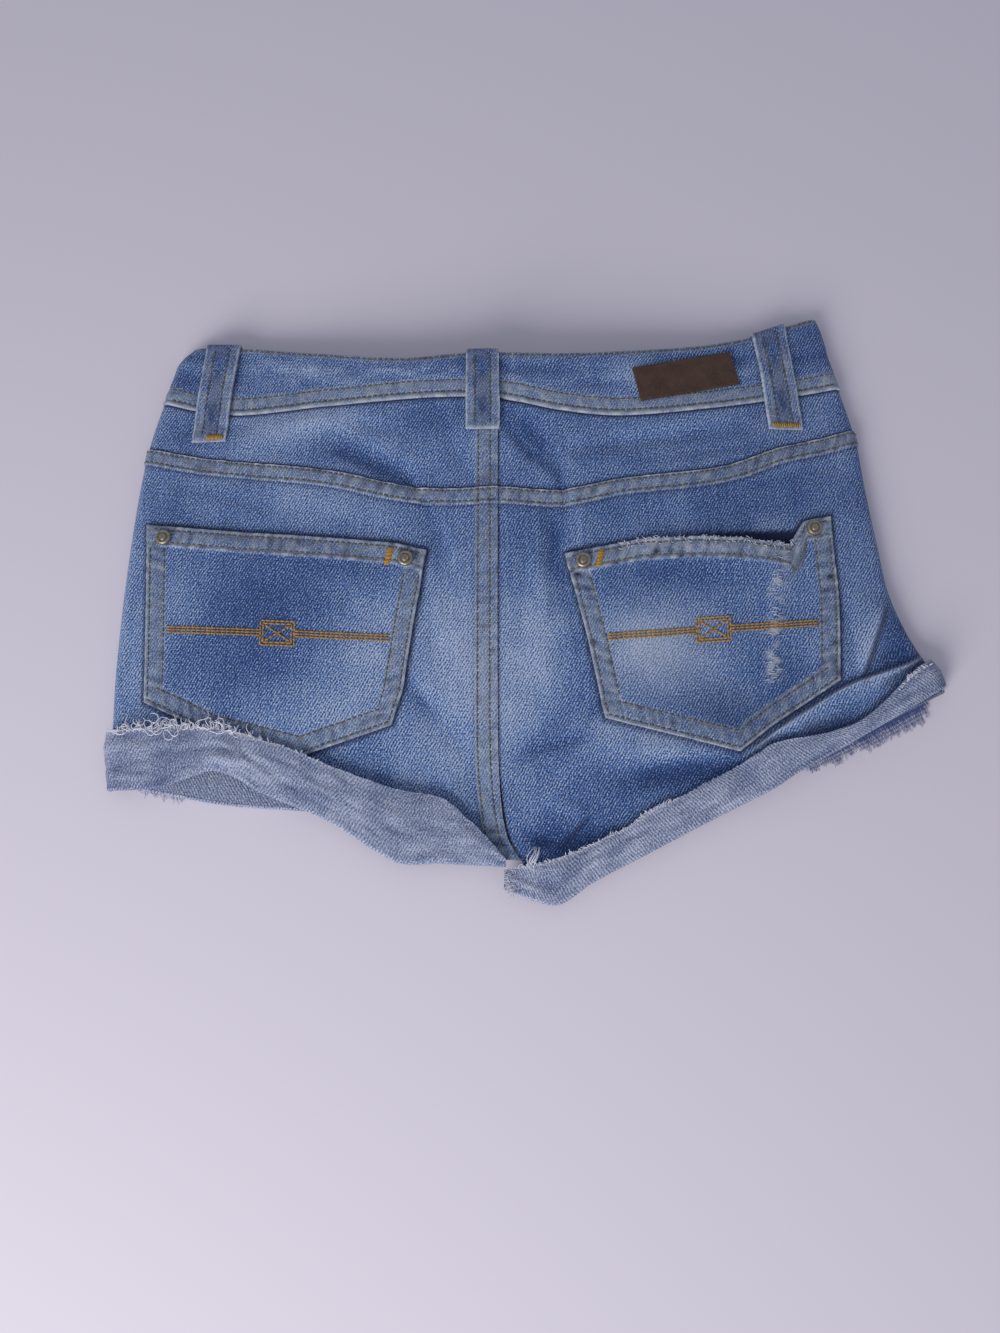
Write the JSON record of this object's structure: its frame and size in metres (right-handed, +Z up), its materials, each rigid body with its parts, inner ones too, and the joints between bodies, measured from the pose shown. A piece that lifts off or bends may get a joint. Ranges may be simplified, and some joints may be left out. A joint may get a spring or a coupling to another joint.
{
  "type": "denim shorts",
  "caption": "Faded stretch-denim cut-off shorts with rolled, frayed cuffs, laid face down and flat on a surface, back pockets up.",
  "frame": {"origin": "on the surface the garment lies on, under the middle of its box", "axes": "+X across the hips to the right as seen from above, +Y from the hems to the waist, +Z up from the surface, through the front to the back of the garment"},
  "size_m": [0.44, 0.326, 0.0276],
  "materials": {
    "denim": "faded indigo right-hand twill, right side out, worn pale at seams",
    "denim_wrong_side": "pale wrong side of the twill, on the turned-up cuffs",
    "frayed_thread": "loose white and pale blue cotton yarn",
    "leather": "dark brown pressed leather, bare",
    "antique_nickel": "antique nickel, darkened in the recesses",
    "zip_tape": "woven navy zip tape"
  },
  "bodies": {
    "root": {"back_panel_left": "denim", "back_panel_right": "denim", "back_yoke_left": "denim", "back_yoke_right": "denim", "front_panel_left": "denim", "front_panel_right": "denim", "waistband_front_left": "denim", "waistband_front_right": "denim", "waistband_back": "denim", "back_pocket_left": "denim", "back_pocket_right": "denim", "belt_loop_left": "denim", "belt_loop_centre": "denim", "belt_loop_right": "denim", "cuff_back_left": "denim_wrong_side", "cuff_front_left": "denim_wrong_side", "cuff_back_right": "denim_wrong_side", "cuff_front_right": "denim_wrong_side", "fringe_cuff_left_raw": "frayed_thread", "fringe_front_right_hem": "frayed_thread", "fringe_front_left_hem": "frayed_thread", "fringe_cuff_right_end": "frayed_thread", "waist_patch": "leather", "rivet_1": "antique_nickel", "rivet_2": "antique_nickel", "rivet_3": "antique_nickel", "rivet_4": "antique_nickel", "waistband_button": "antique_nickel", "fly_zip": "zip_tape"}
  },
  "joints": []
}
